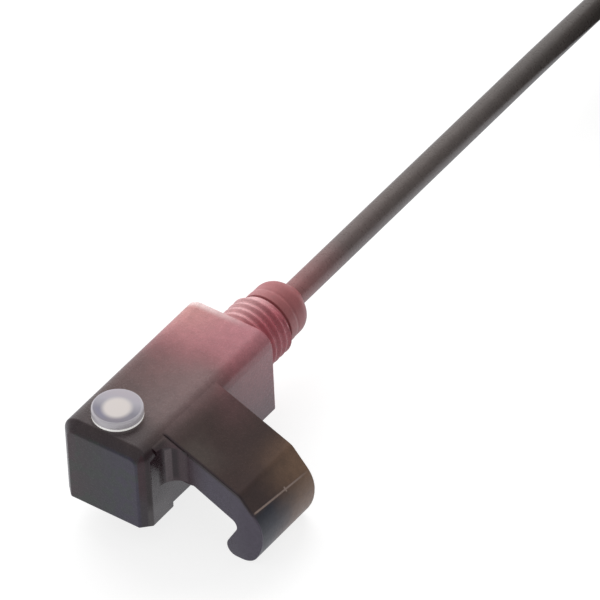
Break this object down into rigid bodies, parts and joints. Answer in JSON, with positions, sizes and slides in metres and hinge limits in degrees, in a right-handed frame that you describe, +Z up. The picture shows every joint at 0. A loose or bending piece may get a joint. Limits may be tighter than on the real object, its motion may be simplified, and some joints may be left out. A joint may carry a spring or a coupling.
{
  "type": "magnetic field sensor",
  "caption": "Small magnetic field sensor: block with a hooked arm, round signal lens, threaded stub and fixed cable ending in bare cores.",
  "frame": {"origin": "middle of the housing's and gland's bounding box in plan, at the height of the hook's lowest edge, which stands on the same surface as the coiled cable", "axes": "+Y runs along the block from its front face to the cable, +X points to the side that the hook reaches out to, +Z is up through the signal lens"},
  "size_m": [0.0463, 0.1304, 0.0192],
  "materials": {
    "housing_plastic": "smooth moulded, faint sheen",
    "lens": "frosted translucent",
    "potting_resin": "cast, level",
    "board": "solder mask",
    "led": "clear cast",
    "chip": "moulded",
    "ceramic": "fired",
    "resistor": "glazed",
    "tin": "solder bright",
    "core_brown": "extruded",
    "core_blue": "extruded",
    "core_black": "extruded",
    "crimp_steel": "plated",
    "seal_rubber": "matte",
    "gland_plastic": "smooth moulded",
    "jacket": "satin extruded",
    "tie": "ribbed strap"
  },
  "bodies": {
    "root": {"housing": "housing_plastic", "led_lens": "lens", "potting": "potting_resin", "circuit_board": "board", "led_chip": "led", "sensor_chip": "chip", "evaluation_chip": "chip", "output_transistor": "chip", "protection_diode": "chip", "capacitor_1": "ceramic", "capacitor_2": "ceramic", "resistor_1": "resistor", "resistor_2": "resistor", "resistor_3": "resistor", "solder_brown": "tin", "solder_blue": "tin", "solder_black": "tin", "wire_brown": "core_brown", "wire_blue": "core_blue", "wire_black": "core_black", "crimp_ring": "crimp_steel", "cable_seal": "seal_rubber", "cable_gland": "gland_plastic", "cable_root": "jacket", "cable": "jacket", "cable_coil": "jacket", "coil_tie_1": "tie", "coil_tie_2": "tie", "cable_tail": "jacket", "lead_brown": "core_brown", "lead_blue": "core_blue", "lead_black": "core_black", "tip_brown": "tin", "tip_blue": "tin", "tip_black": "tin"}
  },
  "joints": []
}
